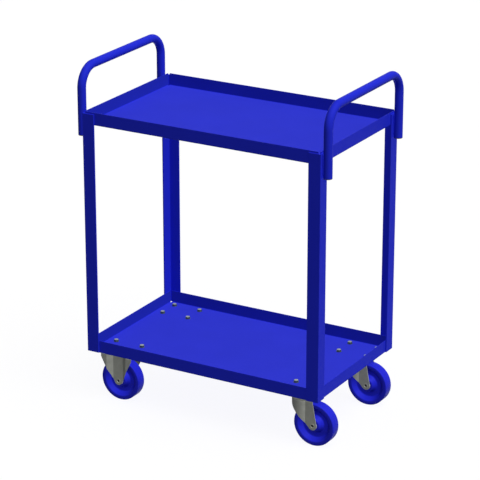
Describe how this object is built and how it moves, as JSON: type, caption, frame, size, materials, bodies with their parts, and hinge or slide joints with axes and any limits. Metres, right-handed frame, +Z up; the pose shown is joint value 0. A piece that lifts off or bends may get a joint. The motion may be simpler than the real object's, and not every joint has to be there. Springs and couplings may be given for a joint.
{
  "type": "utility cart",
  "caption": "Two-shelf steel utility cart with angle-iron legs, a bent tube push handle at each end, and rigid and swivel casters with solid wheels.",
  "frame": {"origin": "on the floor under the middle of the cart", "axes": "+Z up, +X along the trays towards the swivel casters, +Y across the trays to the rear"},
  "size_m": [0.8208, 0.4652, 1.0287],
  "materials": {
    "blue_paint": "smooth semi-gloss powder coat",
    "wheel_blue": "moulded satin polymer",
    "caster_zinc": "dull zinc plate",
    "bolt_zinc": "bright zinc plate",
    "bright_steel": "ground steel",
    "bronze": "oiled sintered bronze",
    "nylon": "natural nylon",
    "black_plastic": "moulded black plastic"
  },
  "bodies": {
    "frame": {"bottom_tray": "blue_paint", "caster_bolts": "bolt_zinc", "caster_nuts": "bolt_zinc", "caster_washers": "bolt_zinc", "fixed_axle_front": "caster_zinc", "fixed_axle_rear": "caster_zinc", "fixed_bracket_front": "caster_zinc", "fixed_bracket_rear": "caster_zinc", "fixed_thrust_washers_front": "nylon", "fixed_thrust_washers_rear": "nylon", "handle_end_plugs": "black_plastic", "handle_left": "blue_paint", "handle_right": "blue_paint", "handle_weld_beads": "blue_paint", "kingpin_front": "bright_steel", "kingpin_rear": "bright_steel", "leg_front_left": "blue_paint", "leg_front_right": "blue_paint", "leg_rear_left": "blue_paint", "leg_rear_right": "blue_paint", "swivel_balls": "bright_steel", "swivel_plate_front": "caster_zinc", "swivel_plate_rear": "caster_zinc", "swivel_seal_front": "black_plastic", "swivel_seal_rear": "black_plastic", "top_tray": "blue_paint"},
    "swivel_front": {"swivel_fork_front": "caster_zinc", "swivel_race_front": "bright_steel", "pivot_washer_front": "bronze", "swivel_axle_front": "caster_zinc", "swivel_thrust_washers_front": "nylon"},
    "front_left_wheel": {"wheel_front_left": "wheel_blue", "wheel_bush_front_left": "bronze"},
    "front_right_wheel": {"wheel_front_right": "wheel_blue", "wheel_bush_front_right": "bronze"},
    "swivel_rear": {"swivel_fork_rear": "caster_zinc", "swivel_race_rear": "bright_steel", "pivot_washer_rear": "bronze", "swivel_axle_rear": "caster_zinc", "swivel_thrust_washers_rear": "nylon"},
    "rear_left_wheel": {"wheel_rear_left": "wheel_blue", "wheel_bush_rear_left": "bronze"},
    "rear_right_wheel": {"wheel_rear_right": "wheel_blue", "wheel_bush_rear_right": "bronze"}
  },
  "joints": [
    {"name": "front_swivel_turn", "type": "hinge", "parent": "frame", "child": "swivel_front", "pos_m": [0.3055, -0.166, 0.1385], "axis": [0, 0, 1], "continuous": true},
    {"name": "front_left_wheel_roll", "type": "hinge", "parent": "frame", "child": "front_left_wheel", "pos_m": [-0.3055, -0.166, 0.0635], "axis": [0, 1, 0], "continuous": true},
    {"name": "front_right_wheel_roll", "type": "hinge", "parent": "swivel_front", "child": "front_right_wheel", "pos_m": [0.3455, -0.166, 0.0635], "axis": [0, 1, 0], "continuous": true},
    {"name": "rear_swivel_turn", "type": "hinge", "parent": "frame", "child": "swivel_rear", "pos_m": [0.3055, 0.166, 0.1385], "axis": [0, 0, 1], "continuous": true},
    {"name": "rear_left_wheel_roll", "type": "hinge", "parent": "frame", "child": "rear_left_wheel", "pos_m": [-0.3055, 0.166, 0.0635], "axis": [0, 1, 0], "continuous": true},
    {"name": "rear_right_wheel_roll", "type": "hinge", "parent": "swivel_rear", "child": "rear_right_wheel", "pos_m": [0.3455, 0.166, 0.0635], "axis": [0, 1, 0], "continuous": true}
  ]
}
